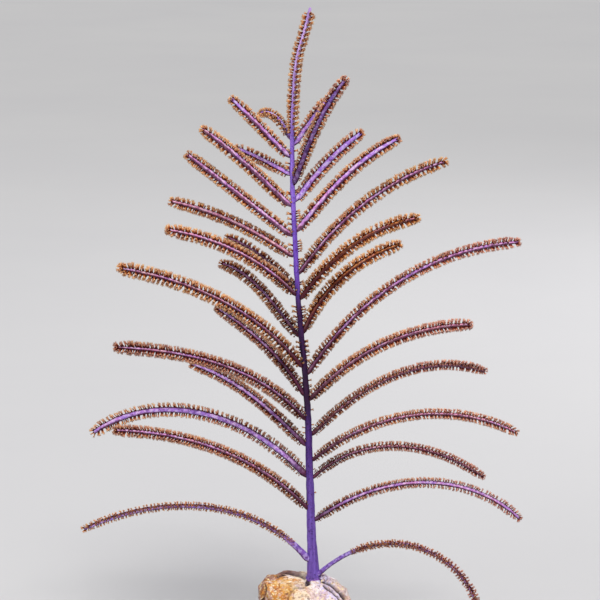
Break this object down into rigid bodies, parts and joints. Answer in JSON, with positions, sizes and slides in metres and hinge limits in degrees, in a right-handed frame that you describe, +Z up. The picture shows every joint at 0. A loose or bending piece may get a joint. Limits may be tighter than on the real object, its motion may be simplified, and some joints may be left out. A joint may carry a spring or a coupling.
{
  "type": "sea plume gorgonian on a loose rock",
  "caption": "Feathery sea plume coral: an upright stem with arching unbranched side branches carrying rows of polyps, growing on a small loose rock that it stands on.",
  "frame": {"origin": "the centre of the rock's flat underside, which the part stands on", "axes": "+Z up along the stem, +X to the right of the picture's view, +Y away from its viewer, across the flattened plume"},
  "size_m": [0.1422, 0.0573, 0.2105],
  "materials": {
    "rock": "matte",
    "stem": "satin",
    "branch": "matte"
  },
  "bodies": {
    "root": {"rock": "rock", "stem": "stem", "left_branch_01": "branch", "left_branch_02": "branch", "left_branch_03": "branch", "left_branch_04": "branch", "left_branch_05": "branch", "left_branch_06": "branch", "left_branch_07": "branch", "left_branch_08": "branch", "left_branch_09": "branch", "left_branch_10": "branch", "left_branch_11": "branch", "left_branch_12": "branch", "left_branch_13": "branch", "left_branch_14": "branch", "left_branch_15": "branch", "left_branch_16": "branch", "right_branch_01": "branch", "right_branch_02": "branch", "right_branch_03": "branch", "right_branch_04": "branch", "right_branch_05": "branch", "right_branch_06": "branch", "right_branch_07": "branch", "right_branch_08": "branch", "right_branch_09": "branch", "right_branch_10": "branch", "right_branch_11": "branch", "right_branch_12": "branch", "right_branch_13": "branch", "right_branch_14": "branch"}
  },
  "joints": []
}
